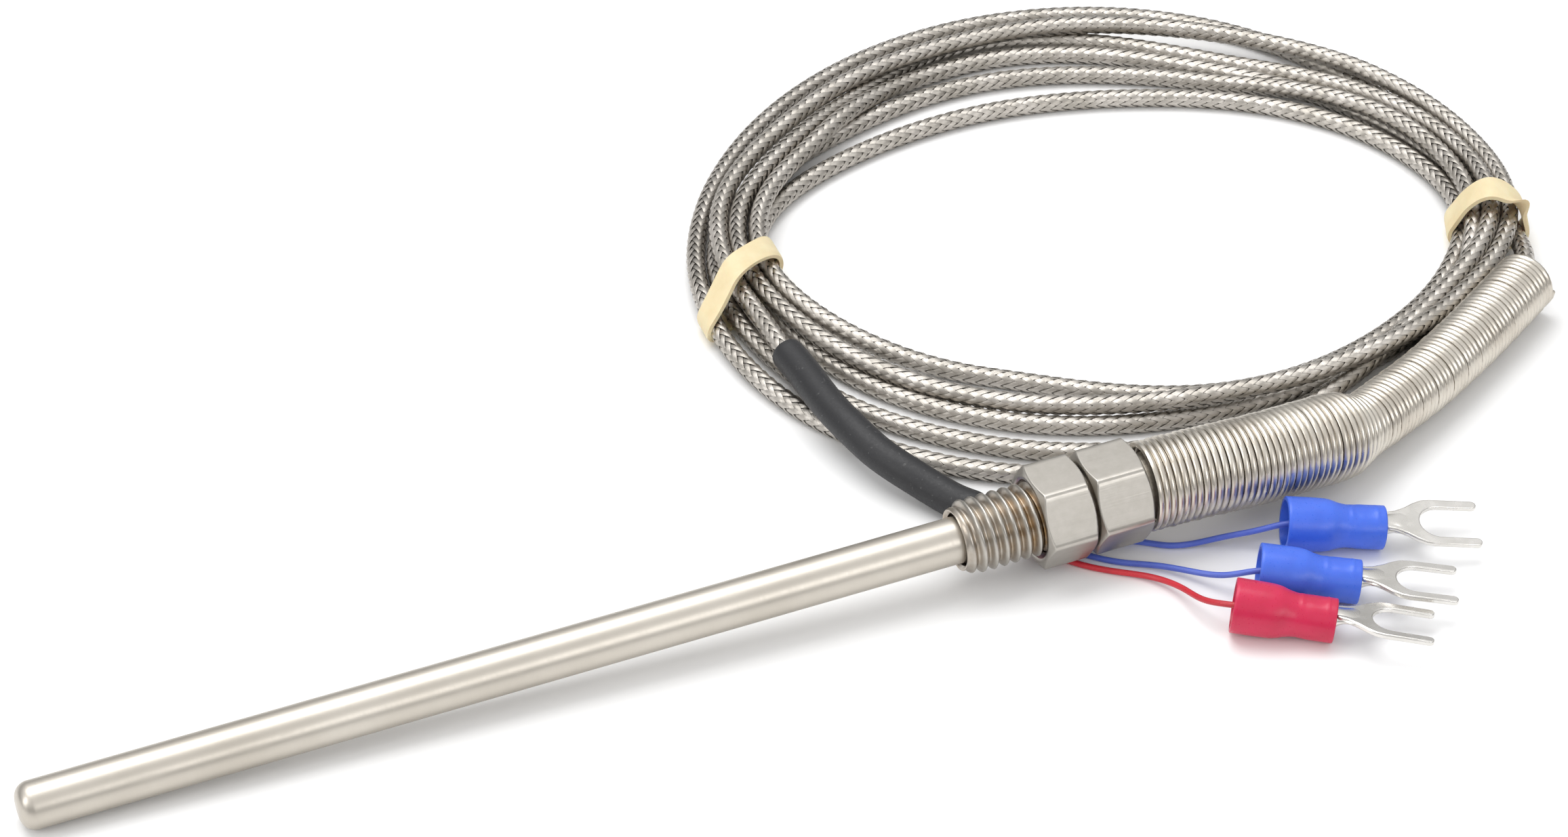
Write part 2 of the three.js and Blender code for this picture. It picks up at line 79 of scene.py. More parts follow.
CABLE_R = 1.1
CABLE_CORE_R = 0.92
CORE_SIDES = 10
CARRIERS = 8
BRAID_LEAD = 11.4
WIRES_IN_RIBBON = 7
RIBBON_WIDTH = 0.61
RIBBON_CROWN = 0.05
RIBBON_OVER_R = 1.10
RIBBON_UNDER_R = 0.95
BRAID_START = 56.0
CROSSING = BRAID_LEAD / (2 * CARRIERS)

SPRING_WIRE_R = 0.36
SPRING_WIRE_SIDES = 9
POINTS_PER_TURN = 30
QUARTER_TURN = 0.25
SPRING_PITCH = 0.745
SPRING_WIDE_R = 4.9
SPRING_NARROW_R = 3.65
SPRING_STEP_START = 24.0
SPRING_STEP_END = 28.8
SPRING_STEP_X = 150

COIL_CENTRE = (140.0, 52.0)
BAND_WIDTH = 3.8
BAND_THICKNESS = 0.6
BAND_ARCH = 1.2
BAND_COLUMNS = 9
BAND_LEFT = 178.0
BAND_RIGHT = -23.0
LEFT_SWAY = 8.0
RIGHT_FLAP = 2.4

# How the coil's strands are settled: gaps, lengths and sinking in millimetres, and shares from 0 to 1.
STRAND_GAP = 0.06
OBSTACLE_GAP = 0.05
SAME_STRAND = 14
SINK = 0.003
SINKING_SHARE = 0.6
PUSH_SHARE = 0.9
EVENING_SHARE = 0.2
FIRST_ROUNDS = 240
LAST_ROUNDS = 100

SHRINK_R = 1.9
SHRINK_BORE_R = 1.42
SHRINK_SIDES = 40
WIRE_R = 0.33
WIRE_SIDES = 16
WIRE_SPACING = 0.74

VINYL_LENGTH = 10.6
FUNNEL_R = 2.9
FUNNEL_LENGTH = 4.2
GRIP_R = 2.35
VINYL_WALL = 0.45
# Where the crimping tool creased the grip: the place along it, the spread and the relative size.
CREASES = ((6.9, 0.12, 1.0), (9.6, 0.1, 0.8))
BARREL_START = 5.0
BARREL_END = 9.0
NECK_END = 13.0
NECK_SIDES = 40
BARREL_R = 1.7
BARREL_BORE_R = 0.9
BLADE_END = 20.7
BLADE_WIDTH = 6.4
BLADE_THICKNESS = 0.6
BLADE_RISE = 1.0
SLOT_WIDTH = 4.3
SLOT_LENGTH = 6.4
TERMINAL_PITCH = math.atan2(FUNNEL_R - GRIP_R, VINYL_LENGTH - FUNNEL_LENGTH)
PLAY = 0.3
FIT = 0.02

# ---------------------------------------------------------------- routes, in millimetres
SPRING_ROUTE = [
    (121, 0, 6.77), (126.2, -0.1, 6.88), (130.9, -0.1, 6.75), (135.5, 0.2, 6.4), (140, 0.8, 6),
    (144.5, 1.5, 5.5), (148.5, 2.6, 5), (153, 4.9, 4.45), (158.7, 7.9, 4), (164, 11, 3.78),
    (169.5, 14.4, 3.7), (174.7, 17.8, 3.7), (179.8, 21.2, 3.7),
]
# The cable leans on the spring's inner side where it leaves.
SPRING_MOUTH = (179.1, 22.4, 3.5)
LEAD_OUT_ROUTE = [(181.3, 24.8, 3.2), (183, 28.6, 2.5)]
# Each turn of the coil as (radius, height) where it passes these angles about the coil's centre.
STATIONS = [0, 45, 90, 135, 157.5, 180, 225, 270, 315, 337.5]
TURNS = [
    [(45.3, 1.5), (45.3, 1.1), (44.1, 1.1), (43.9, 1.1), (45.4, 1.4), (47.6, 1.75), (48, 1.1), (43.9, 1.1),
     (44.4, 1.2), (45.9, 1.75)],
    [(43, 1.5), (35.9, 1.1), (36.2, 1.1), (35.2, 3.1), (38.6, 3.5), (39.2, 3.7), (31.5, 1.1), (34, 1.1),
     (40.2, 1.2), (43.7, 1.75)],
    [(40.7, 1.5), (28.9, 1.1), (25.9, 1.1), (32, 1.1), (38, 1.4), (40.4, 1.75), (38.6, 1.1), (37.5, 1.1),
     (42.3, 1.2), (43.7, 3.9)],
    [(42.6, 3.5), (33.7, 1.1), (32.3, 1.1), (37.1, 1.1), (42.6, 1.4), (44.9, 1.75), (43.4, 1.1), (40.8, 1.1),
     (41.6, 3.3), (45.8, 4.2)],
    [(44.9, 3.5), (38.1, 1.1), (40, 1.1), (37.4, 3.2), (40.8, 3.5), (41.4, 3.75), (37.4, 2.4), (37, 3.3),
     (43.8, 3.3), (47.5, 3.9)],
    [(47.2, 3.5), (41.6, 3), (38.4, 3), (39.8, 3.3), (43, 3.5), (43.8, 3.75)],
]
FIRST_STATION = (-22.5, 48, 1.75)
TAIL_ROUTE = [(96.2, 44.5, 4.4), (96.4, 38.4, 4.5), (96.8, 34.5, 4.45), (97, 31, 4.4)]
SHRINK_ROUTE = [
    (96.4, 38.4, 4.5), (96.8, 34.5, 4.45), (97, 31, 4.4), (97.4, 27, 4.3), (98.2, 23, 4.1), (99.3, 19.5, 3.6),
    (101.1, 16, 3), (103.1, 12.9, 2.3), (104.7, 10.4, 1.95), (106.3, 8.3, 1.95),
]
WIRE_ROUTES = {
    "blue_1": [
        (109.4, 5.7, 0.6), (113.2, 3.1, 0.36), (117.2, 0.7, 0.36), (121.2, -1.5, 0.4), (123.4, -3, 0.45),
        (126, -3.9, 0.65), (128.9, -4.9, 1.4), (132.2, -6.2, 2.3),
    ],
    "blue_2": [
        (108.6, 4.9, 0.55), (111.9, 1.9, 0.36), (115, -1.4, 0.36), (117.6, -3.6, 0.38), (120.4, -5.5, 0.6),
        (123.3, -8.2, 1), (126, -11.2, 1.95),
    ],
    "red": [
        (107.8, 4.2, 0.5), (110.6, 1.1, 0.36), (113.2, -2, 0.36), (116.2, -4.6, 0.38), (119.4, -7.2, 0.6),
        (121.2, -10.7, 1.3), (122, -14.4, 2.3),
    ],
}
# Where each terminal's rim lies, its heading and roll in degrees, and its wire's side in the sleeve.
TERMINALS = {
    "blue_1": ((134.7, -7.25), -19.5, 7, 1),
    "blue_2": ((128.7, -13.1), -26.5, -4, 0),
    "red": ((123.8, -17.15), -30, -9, -1),
}

# ---------------------------------------------------------------- lines and meshes
def put(points):
    """Millimetres from under the probe's tip, as metres in the row frame."""
    moved = np.array(points, float).reshape(-1, 3)
    moved[:, 0] -= ORIGIN_X
    return moved * MM


def spline(knots, values, where):
    """A natural cubic spline through the values at the knots, read at other places."""
    knots = np.array(knots, float)
    values = np.array(values, float).reshape(len(knots), -1)
    gap = np.diff(knots)
    count = len(knots)
    system = np.eye(count)
    right = np.zeros_like(values)
    for i in range(1, count - 1):
        system[i, i - 1:i + 2] = gap[i - 1], 2 * (gap[i - 1] + gap[i]), gap[i]
        right[i] = 6 * ((values[i + 1] - values[i]) / gap[i] - (values[i] - values[i - 1]) / gap[i - 1])
    bend = np.linalg.solve(system, right)
    i = np.clip(np.searchsorted(knots, where, side="right") - 1, 0, count - 2)
    h = gap[i][:, None]
    a = (knots[i + 1] - where)[:, None] / h
    b = 1 - a
    curved = ((a ** 3 - a) * bend[i] + (b ** 3 - b) * bend[i + 1]) * h * h / 6
    return a * values[i] + b * values[i + 1] + curved


def distance_along(points):
    """How far along its straight pieces each of a line's points is."""
    steps = np.linalg.norm(np.diff(points, axis=0), axis=1)
    return np.concatenate([[0], np.cumsum(steps)])


def smooth_route(points, step=0.5):
    """Points close together on a smooth line through a route's points."""
    points = np.array(points, float)
    knots = distance_along(points)
    dense = spline(knots, points, np.linspace(0, knots[-1], int(knots[-1] / step * 2)))
    knots = distance_along(dense)
    even = np.linspace(0, knots[-1], max(8, int(knots[-1] / step)))
    return np.stack([np.interp(even, knots, dense[:, axis]) for axis in range(3)], 1)


class Line:
    """A line with a frame that doesn't twist, which says where things round it are."""

    def __init__(self, points):
        self.points = np.array(points, float)
        self.along = distance_along(self.points)
        self.length = self.along[-1]
        heading = np.gradient(self.points, axis=0)
        self.heading = heading / np.linalg.norm(heading, axis=1)[:, None]
        side = np.cross(self.heading[0], (0, 0, 1))
        sides = []
        for direction in self.heading:
            side = side - direction * side.dot(direction)
            side = side / np.linalg.norm(side)
            sides.append(side)
        self.side = np.array(sides)
        self.over = np.cross(self.side, self.heading)

    def read(self, values, where):
        return np.stack([np.interp(where, self.along, values[:, axis]) for axis in range(3)], -1)

    def round(self, where, angle, radius):
        """Points at these distances along, angles round and radii from the line."""
        out = np.cos(angle)[..., None] * self.read(self.side, where)
        out = out + np.sin(angle)[..., None] * self.read(self.over, where)
        return self.read(self.points, where) + out * radius[..., None]


def new_object(name, data):
    """An object in the scene that shows this mesh, camera or light."""
    obj = bpy.data.objects.new(name, data)
    bpy.context.collection.objects.link(obj)
    return obj


def mesh_object(name, vertices, faces, smooth_angle=40):
    """An object from vertices in metres, shaded smooth apart from its sharp edges."""
    mesh = bpy.data.meshes.new(name)
    mesh.from_pydata(np.asarray(vertices).reshape(-1, 3).tolist(), [], faces)
    obj = new_object(name, mesh)
    fix_normals(obj)
    mesh.shade_smooth()
    mesh.set_sharp_from_angle(angle=math.radians(smooth_angle))
    return obj


def grid_faces(rows, columns, close_rows=False, first=0):
    """Four-sided faces between rows of vertices. Each row is a closed ring."""
    row, column = np.meshgrid(np.arange(rows if close_rows else rows - 1), np.arange(columns), indexing="ij")
    next_row = (row + 1) % rows
    next_column = (column + 1) % columns
    corners = [row * columns + column, row * columns + next_column,
               next_row * columns + next_column, next_row * columns + column]
    return first + np.stack(corners, -1).reshape(-1, 4)


def turned(name, rows, segments=96, smooth_angle=40):
    """A solid turned about X from (x, radius) rows. A radius may be an array with one value per segment."""
    angle = np.linspace(0, 2 * math.pi, segments, endpoint=False)
    vertices = []
    for x, radius in rows:
        radius = np.broadcast_to(radius, angle.shape)
        xs = np.broadcast_to(x, angle.shape)
        vertices.append(np.stack([xs, radius * np.cos(angle), radius * np.sin(angle)], 1))
    faces = grid_faces(len(rows), segments, close_rows=True).tolist()
    return mesh_object(name, np.concatenate(vertices) * MM, faces, smooth_angle)


def closed_turned(name, rows, segments=96, smooth_angle=40):
    """As turned(), for a solid whose first and last rows are on the axis."""
    angle = np.linspace(0, 2 * math.pi, segments, endpoint=False)
    middle = rows[1:-1]
    vertices = [np.stack([np.full(segments, x), r * np.cos(angle), r * np.sin(angle)], 1) for x, r in middle]
    faces = grid_faces(len(middle), segments).tolist()
    last = len(middle) * segments
    for i in range(segments):
        j = (i + 1) % segments
        faces.append([last, i, j])
        faces.append([last + 1, last - segments + j, last - segments + i])
    ends = [[rows[0][0], 0, 0], [rows[-1][0], 0, 0]]
    return mesh_object(name, np.concatenate(vertices + [ends]) * MM, faces, smooth_angle)


def tube(name, line, radius, sides, step, bore=0.0, rounding=0.0):
    """A round tube, or a solid bar if there is no bore, along a line, with softly rounded ends."""
    where = np.linspace(0, line.length, max(3, int(line.length / step)))
    angle = np.linspace(0, 2 * math.pi, sides, endpoint=False)
    if rounding:
        inset = rounding * 0.3
        where = np.concatenate([[0, inset], where[1:-1], [line.length - inset, line.length]])
    radii = np.full(len(where), float(radius))
    radii[[0, -1]] -= rounding
    radii[[1, -2]] -= rounding * 0.25
    rings = [line.round(np.full(sides, s), angle, np.full(sides, r)) for s, r in zip(where, radii)]
    if bore:
        rings += [line.round(np.full(sides, s), angle, np.full(sides, bore)) for s in where[::-1]]
        faces = grid_faces(len(rings), sides, close_rows=True).tolist()
    else:
        faces = grid_faces(len(rings), sides).tolist()
        faces += [list(range(sides))[::-1], list(range((len(rings) - 1) * sides, len(rings) * sides))]
    return mesh_object(name, put(np.concatenate(rings)), faces)


def fix_normals(obj):
    """Turns every face outwards."""
    made = bmesh.new()
    made.from_mesh(obj.data)
    bmesh.ops.recalc_face_normals(made, faces=made.faces)
    made.to_mesh(obj.data)
    made.free()


def on_probe(obj):
    """Puts a piece that was made along X from the tip onto the leaning probe."""
    place = Matrix.Translation((-ORIGIN_X * MM, 0, TIP_AXIS_Z * MM))
    obj.matrix_world = place @ Matrix.Rotation(-TILT, 4, "Y")
    return obj


# ---------------------------------------------------------------- camera, made first
def make_camera():
    """The photograph's view: a long lens from the front left, looking down at 38 degrees."""
    data = bpy.data.cameras.new("camera")
    data.sensor_width = 36
    data.lens = 101.17
    data.clip_start = 0.01
    camera = new_object("camera", data)
    camera.location = put([(-47.3, -321.6, 298.1)])[0]
    view = Vector((0.2916, 0.7321, -0.6157))
    camera.rotation_euler = view.to_track_quat("-Z", "Y").to_euler()
    bpy.context.scene.camera = camera


# ---------------------------------------------------------------- the cable's route
def lifted(points, floor):
    """How high a cable's middle is at the lowest: on the table, or on the band that passes under it."""
    across = points[:, :2] - np.array(COIL_CENTRE)
    angle = np.arctan2(across[:, 1], across[:, 0])
    radius = np.linalg.norm(across, axis=1)
    lift = np.zeros(len(points))
    for band in (BAND_LEFT, BAND_RIGHT):
        away = (angle - math.radians(band) + math.pi) % (2 * math.pi) - math.pi
        lift = np.maximum(lift, np.clip(1.5 * np.exp(-(away * radius / 6) ** 2), 0, 1))
    return floor + lift * (BAND_THICKNESS + 0.05)


def coil_points():
    """The coil's points, close together, from the table of its turns."""
    angles = [FIRST_STATION[0]]
    places = [FIRST_STATION[1:]]
    for turn, stations in enumerate(TURNS):
        for station, place in zip(STATIONS, stations):
            angles.append(360 * turn + station)
            places.append(place)
    places = np.array(places)
    fine = np.arange(angles[0], angles[-1], 2.5)
    radius = spline(angles, places[:, 0], fine)[:, 0]
    before = np.clip(np.searchsorted(angles, fine, side="right") - 1, 0, len(angles) - 2)
    start, end = np.array(angles)[before], np.array(angles)[before + 1]
    ease = (1 - np.cos(math.pi * (fine - start) / (end - start))) / 2
    height = places[before, 1] + (places[before + 1, 1] - places[before, 1]) * ease
    turn = np.radians(fine)
    x = COIL_CENTRE[0] + radius * np.cos(turn)
    y = COIL_CENTRE[1] + radius * np.sin(turn)
    return np.stack([x, y, height], 1)


def strand_push(points, same_strand):
    """How far each point moves away from the strands that are too close to it."""
    gap = points[:, None, :] - points[None, :, :]
    far = np.linalg.norm(gap, axis=2) + 1e-9
    short = np.where(same_strand, 0, np.clip(2 * CABLE_R + STRAND_GAP - far, 0, None))
    touching = np.maximum((short > 0).sum(1), 1)[:, None]
    return (gap / far[..., None] * short[..., None] * 0.5).sum(1) / touching


def obstacle_push(points, middle, radius):
    """How far each point moves out of a round obstacle about a middle line."""
    gap = points[:, None, :] - middle[None, :, :]
    far = np.linalg.norm(gap, axis=2)
    index = np.arange(len(points))
    nearest = far.argmin(1)
    short = np.clip(radius + CABLE_R + OBSTACLE_GAP - far[index, nearest], 0, None)
    return gap[index, nearest] / far[index, nearest][:, None] * short[:, None]


def settle(points, held, obstacles, rounds):
    """Moves a cable's points until its strands lie beside and on each other, clear of the obstacles.

    The strands sink a little in each of the first rounds, and only push each other apart in the last ones.
    """
    rest = points.copy()
    step = np.linalg.norm(np.diff(points, axis=0), axis=1).mean()
    index = np.arange(len(points))
    same_strand = np.abs(index[:, None] - index[None, :]) * step < SAME_STRAND
    for turn in range(rounds):
        push = strand_push(points, same_strand)
        for middle, radius in obstacles:
            push += obstacle_push(points, middle, radius)
        if turn < SINKING_SHARE * rounds:
            push[:, 2] -= SINK
        moved = points + push * PUSH_SHARE - rest
        for _ in range(2):
            moved[1:-1] += EVENING_SHARE * (moved[:-2] - 2 * moved[1:-1] + moved[2:])
        points = rest + moved
        points[:, 2] = np.maximum(points[:, 2], lifted(points, CABLE_R))
        points[held] = rest[held]
    return points


def cable_route():
    """The cable's whole middle line, from the sheath through spring and coil into the black sleeve."""
    start = (SHEATH_END + PLAY) * math.cos(TILT), 0, TIP_AXIS_Z + (SHEATH_END + PLAY) * math.sin(TILT)
    in_spring = smooth_route([start, *SPRING_ROUTE[1:-1], SPRING_MOUTH], 2.0)
    coil = coil_points()
    tail = smooth_route([*coil[-3:], *TAIL_ROUTE], 2.0)[3:]
    lead_out = smooth_route([*SPRING_ROUTE[-3:-1], SPRING_MOUTH, *LEAD_OUT_ROUTE, *coil[:4:2]], 1.0)
    from_spring = np.linalg.norm(lead_out - SPRING_MOUTH, axis=1).argmin()
    to_coil = np.linalg.norm(lead_out - coil[0], axis=1).argmin()
    lead_out = lead_out[from_spring + 2:to_coil:2]
    points = np.concatenate([in_spring, lead_out, coil, tail])
    points = smooth_route(points, 2.0)
    index = np.arange(len(points))
    held = (index < len(in_spring) + 1) | (index >= len(points) - len(tail) + 2)
    spring = smooth_route(SPRING_ROUTE, 1.0)
    wide = spring[:, 0] < SPRING_STEP_X
    obstacles = [(spring[wide], SPRING_WIDE_R), (spring[~wide], SPRING_NARROW_R)]
    points = settle(points, held, [], FIRST_ROUNDS)
    first = int(np.argmin(held)) + 6
    for _ in range(2):
        points[first:] = settle(points[first:], held[first:], obstacles, LAST_ROUNDS)
    return Line(smooth_route(points, 0.5))


# ---------------------------------------------------------------- materials
class Look:
    """A procedural material. Its textures use the piece's own coordinates, in metres."""

    def __init__(self, name, color, roughness, metallic=0.0, **extra):
        self.material = bpy.data.materials.new(name)
        self.material.use_nodes = True
        self.tree = self.material.node_tree
        self.shader = self.tree.nodes["Principled BSDF"]
        self.set("Base Color", (*color, 1))
        self.set("Roughness", roughness)
        self.set("Metallic", metallic)
        for key, value in extra.items():
            self.set(key.replace("_", " "), value)

    def set(self, key, value):
        self.shader.inputs[key].default_value = value

    def node(self, kind, **values):
        made = self.tree.nodes.new(kind)
        for key, value in values.items():
            setattr(made, key, value)
        return made

    def link(self, source, target):
        self.tree.links.new(source, target)

    def coordinates(self, stretch=(1, 1, 1)):
        place = self.node("ShaderNodeTexCoord")
        mapping = self.node("ShaderNodeMapping")
        mapping.inputs["Scale"].default_value = stretch
        self.link(place.outputs["Object"], mapping.inputs["Vector"])
        return mapping.outputs["Vector"]

    def noise(self, size_mm, stretch=(1, 1, 1), detail=4.0, rough=0.55):
        """Noise whose spots are about this many millimetres across, less where it is stretched."""
        made = self.node("ShaderNodeTexNoise")
        made.inputs["Scale"].default_value = 1 / (size_mm * MM)
        made.inputs["Detail"].default_value = detail
        made.inputs["Roughness"].default_value = rough
        self.link(self.coordinates(stretch), made.inputs["Vector"])
        return made.outputs["Fac"]

    def range(self, source, low, high, to_low, to_high):
        made = self.node("ShaderNodeMapRange")
        self.link(source, made.inputs["Value"])
        for key, value in zip(("From Min", "From Max", "To Min", "To Max"), (low, high, to_low, to_high)):
            made.inputs[key].default_value = value
        return made.outputs["Result"]

    def math(self, operation, first, second=None):
        made = self.node("ShaderNodeMath", operation=operation)
        for i, value in enumerate((first, second)):
            if value is None:
                continue
            if isinstance(value, (int, float)):
                made.inputs[i].default_value = value
            else:
                self.link(value, made.inputs[i])
        return made.outputs["Value"]

    def tint(self, factor, first, second):
        """Mixes two colours, each a triple or a node's colour, by a factor."""
        made = self.node("ShaderNodeMix", data_type="RGBA")
        self.link(factor, made.inputs["Factor"])
        for key, value in ((6, first), (7, second)):
            if isinstance(value, tuple):
                made.inputs[key].default_value = (*value, 1)
            else:
                self.link(value, made.inputs[key])
        return made.outputs[2]

    def bump(self, height, depth_mm, strength=1.0):
        made = self.node("ShaderNodeBump")
        made.inputs["Distance"].default_value = depth_mm * MM
        made.inputs["Strength"].default_value = strength
        self.link(height, made.inputs["Height"])
        self.link(made.outputs["Normal"], self.shader.inputs["Normal"])

    def use(self, key, source):
        self.link(source, self.shader.inputs[key])

    def color(self, source, first, second):
        """Lets a factor mix the base colour from two colours."""
        self.use("Base Color", self.tint(source, first, second))

    def roughen(self, source, smooth, rough):
        """Lets a noise vary the roughness between two values."""
        self.use("Roughness", self.range(source, 0.3, 0.7, smooth, rough))

    def off_axis(self):
        """Distance from the X axis, in millimetres, for a piece turned about it."""
        place = self.node("ShaderNodeTexCoord")
        flat = self.node("ShaderNodeVectorMath", operation="MULTIPLY")
        flat.inputs[1].default_value = (0, 1000, 1000)
        size = self.node("ShaderNodeVectorMath", operation="LENGTH")
        self.link(place.outputs["Object"], flat.inputs[0])
        self.link(flat.outputs["Vector"], size.inputs[0])
        return size.outputs["Value"]

    def along_x(self):
        """Distance along X, in millimetres."""
        place = self.node("ShaderNodeTexCoord")
        parts = self.node("ShaderNodeSeparateXYZ")
        self.link(place.outputs["Object"], parts.inputs["Vector"])
        return self.math("MULTIPLY", parts.outputs["X"], 1000.0)


def sheath_steel():
    """Drawn tube, finely brushed around, with faint handling marks."""
    look = Look("sheath_steel", (0.58, 0.54, 0.48), 0.4, 1.0)
    brushed = look.noise(1.5, (9, 1, 1), 6, 0.7)
    marks = look.range(look.noise(9, (1, 3.2, 3.2), 3, 0.5), 0.62, 0.72, 0, 1)
    cloud = look.range(look.noise(14), 0.35, 0.7, 0, 1)
    look.color(cloud, (0.60, 0.56, 0.50), (0.53, 0.49, 0.43))
    rough = look.range(brushed, 0.3, 0.7, 0.34, 0.44)
    look.use("Roughness", look.math("ADD", rough, look.math("MULTIPLY", marks, 0.06)))
    look.bump(brushed, 0.003, 0.7)
    return look.material


def nickel():
    """Machined and nickel-plated fitting, browner in the thread's valleys and close to the nut."""
    look = Look("nickel", (0.52, 0.50, 0.465), 0.3, 1.0)
    lines = look.noise(1.2, (0.15, 8, 8), 4, 0.6)
    spots = look.noise(0.9, detail=5)
    valley = look.range(look.off_axis(), 3.95, 3.4, 0, 1)
    thread = look.range(look.along_x(), 115, 113.5, 0, 1)
    near_nut = look.range(look.along_x(), 103.5, 108, 0.35, 1)
    stain = look.math("MULTIPLY", look.math("MULTIPLY", valley, near_nut), thread)
    stain = look.math("MULTIPLY", stain, look.range(spots, 0.35, 0.6, 0.45, 1))
    plate = look.tint(look.range(spots, 0.3, 0.75, 0, 1), (0.49, 0.465, 0.425), (0.44, 0.415, 0.375))
    look.color(stain, plate, (0.30, 0.19, 0.09))
    look.roughen(lines, 0.28, 0.38)
    look.bump(lines, 0.008, 0.6)
    return look.material


def spring_steel():
    """Bright drawn spring wire."""
    look = Look("spring_steel", (0.66, 0.62, 0.55), 0.3, 1.0)
    drawn = look.noise(0.5, detail=5)
    cloud = look.range(look.noise(5), 0.35, 0.7, 0, 1)
    look.color(cloud, (0.68, 0.64, 0.57), (0.57, 0.52, 0.45))
    look.roughen(drawn, 0.26, 0.36)
    look.bump(drawn, 0.003, 0.5)
    return look.material


def braid_steel():
    """Flat ribbons of fine bright wires side by side, with painted shade in the grooves between the wires. The
    first texture coordinate runs across a ribbon.
    """
    look = Look("braid_steel", (0.55, 0.515, 0.47), 0.35, 1.0, Anisotropic=0.5)
    place = look.node("ShaderNodeUVMap", uv_map="strand")
    parts = look.node("ShaderNodeSeparateXYZ")
    look.link(place.outputs["UV"], parts.inputs["Vector"])
    wires = look.math("MULTIPLY", parts.outputs["X"], WIRES_IN_RIBBON * math.pi)
    wires = look.math("ABSOLUTE", look.math("SINE", wires))
    cloud = look.range(look.noise(3.5), 0.35, 0.65, 0, 1)
    speck = look.noise(0.35, detail=3)
    steel = look.tint(cloud, (0.60, 0.565, 0.52), (0.46, 0.43, 0.385))
    # Painted shade: the colour darkens towards a dark brown in the grooves between the wires.
    groove_shade = look.range(wires, 0.0, 0.45, 0.35, 0)
    look.color(groove_shade, steel, (0.16, 0.14, 0.11))
    look.roughen(speck, 0.28, 0.38)
    across = look.node("ShaderNodeTangent", direction_type="UV_MAP", uv_map="strand")
    look.use("Tangent", across.outputs["Tangent"])
    look.bump(wires, 0.012, 0.9)
    return look.material


def braid_core_shade():
    """The cable under its braid, coloured near black so that the gaps between the ribbons show as painted
    shade.
    """
    # Painted shade: near black where the gaps between the braid's ribbons show the core.
    look = Look("braid_core_shade", (0.07, 0.06, 0.05), 0.7)
    speck = look.noise(0.4)
    look.color(speck, (0.022, 0.018, 0.015), (0.06, 0.05, 0.04))
    look.bump(speck, 0.02)
    return look.material


def tinned_copper():
    """Bright tin plating, a little mottled."""
    look = Look("tinned_copper", (0.80, 0.78, 0.75), 0.25, 1.0)
    mottle = look.noise(1.1, detail=4)
    cloud = look.range(look.noise(4), 0.3, 0.7, 0, 1)
    look.color(cloud, (0.80, 0.78, 0.75), (0.68, 0.66, 0.62))
    look.roughen(mottle, 0.2, 0.32)
    look.bump(mottle, 0.010, 0.5)
    return look.material


def vinyl(name, color, deep):
    """Soft glossy moulded vinyl."""
    look = Look(name, color, 0.32, Subsurface_Weight=0.12, Subsurface_Scale=0.0006, Specular_IOR_Level=0.5)
    cloud = look.noise(3.5, detail=3)
    grain = look.noise(0.25, detail=3)
    look.color(look.range(cloud, 0.3, 0.7, 0, 1), color, deep)
    look.roughen(grain, 0.26, 0.42)
    look.bump(look.math("ADD", grain, look.math("MULTIPLY", cloud, 2.0)), 0.012, 0.6)
    return look.material


def shrink_plastic():
    """Dull black heat-shrunk sleeve, with fine dust and long soft wrinkles."""
    look = Look("shrink_plastic", (0.022, 0.022, 0.024), 0.5)
    grain = look.noise(0.3, detail=5, rough=0.7)
    dust = look.range(look.noise(0.45, detail=2), 0.66, 0.74, 0, 0.5)
    wrinkle = look.noise(5, detail=2)
    look.color(dust, (0.014, 0.014, 0.016), (0.10, 0.10, 0.10))
    look.roughen(grain, 0.42, 0.6)
    look.bump(look.math("ADD", grain, look.math("MULTIPLY", wrinkle, 3.0)), 0.03, 0.7)
    return look.material


def latex():
    """Cream rubber band, dusty and slightly see-through."""
    look = Look("latex", (0.74, 0.63, 0.40), 0.6, Subsurface_Weight=0.15, Subsurface_Scale=0.0008)
    cloud = look.noise(3, detail=4)
    grain = look.noise(0.25, detail=4)
    mottle = look.range(cloud, 0.3, 0.7, 0, 1)
    look.color(mottle, (0.76, 0.66, 0.43), (0.69, 0.57, 0.34))
    look.roughen(grain, 0.5, 0.72)
    look.bump(look.math("ADD", grain, cloud), 0.02, 0.7)
    return look.material


def ceramic():
    """White fired alumina, finely grained."""
    look = Look("ceramic", (0.85, 0.83, 0.78), 0.7)
    grain = look.noise(0.3, detail=5)
    look.color(grain, (0.88, 0.86, 0.82), (0.76, 0.73, 0.66))
    look.bump(grain, 0.02)
    return look.material


def resin():
    """Dark cast epoxy."""
    look = Look("resin", (0.02, 0.018, 0.016), 0.3)
    cloud = look.noise(1.5)
    look.color(cloud, (0.015, 0.013, 0.012), (0.05, 0.042, 0.036))
    look.roughen(cloud, 0.2, 0.4)
    look.bump(cloud, 0.02)
    return look.material


LOOKS = {
    "sheath": sheath_steel(),
    "nickel": nickel(),
    "spring": spring_steel(),
    "braid": braid_steel(),
    "core": braid_core_shade(),
    "tinned": tinned_copper(),
    "blue": vinyl("blue_vinyl", (0.060, 0.160, 0.75), (0.045, 0.125, 0.64)),
    "red": vinyl("red_vinyl", (0.60, 0.014, 0.075), (0.50, 0.010, 0.055)),
    "blue_wire": vinyl("blue_wire", (0.10, 0.16, 0.62), (0.075, 0.125, 0.52)),
    "red_wire": vinyl("red_wire", (0.62, 0.030, 0.045), (0.50, 0.020, 0.035)),
    "shrink": shrink_plastic(),
    "latex": latex(),
    "ceramic": ceramic(),
    "resin": resin(),
}


def dress(obj, look, slot, body, *nodes):
    """Gives a piece its material and body, and hides the CAD nodes that it stands for. The slot is not used."""
    obj.data.materials.clear()
    obj.data.materials.append(LOOKS[look])
    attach(obj, body)
    if nodes:
        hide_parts(*nodes)
    return obj


